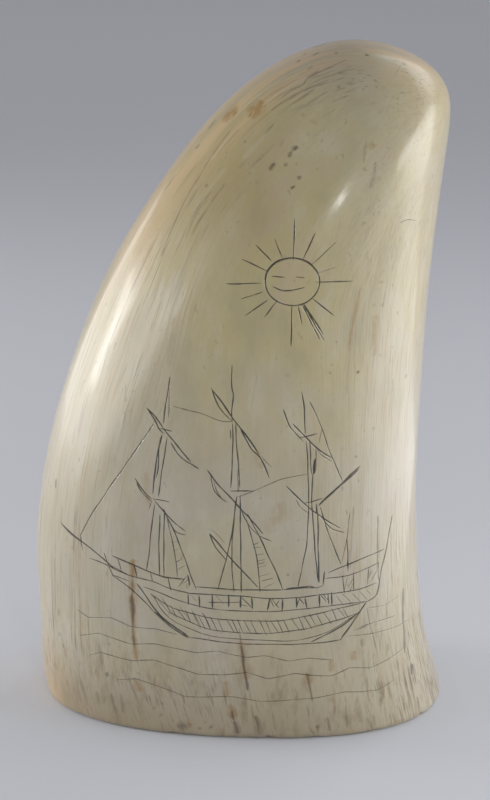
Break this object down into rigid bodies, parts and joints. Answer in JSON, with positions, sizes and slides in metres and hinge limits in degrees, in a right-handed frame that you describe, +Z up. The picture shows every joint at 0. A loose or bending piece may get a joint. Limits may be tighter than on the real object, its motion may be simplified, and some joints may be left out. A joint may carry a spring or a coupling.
{
  "type": "scrimshaw whale tooth",
  "caption": "Polished sperm whale tooth, cut flat at the root to stand, engraved with a three-masted ship, waves and a smiling sun.",
  "frame": {"origin": "middle of the footprint, on the plane of the sawn base that the tooth stands on", "axes": "+Z up along the tooth's height, -Y towards the viewer of the engraved face, +X to the side the tip leans to"},
  "size_m": [0.086, 0.0602, 0.1398],
  "materials": {
    "ivory": "polished, cream to yellowish with grey-brown grain and dark stained lines"
  },
  "bodies": {
    "root": {"engraved_whale_tooth": "ivory"}
  },
  "joints": []
}
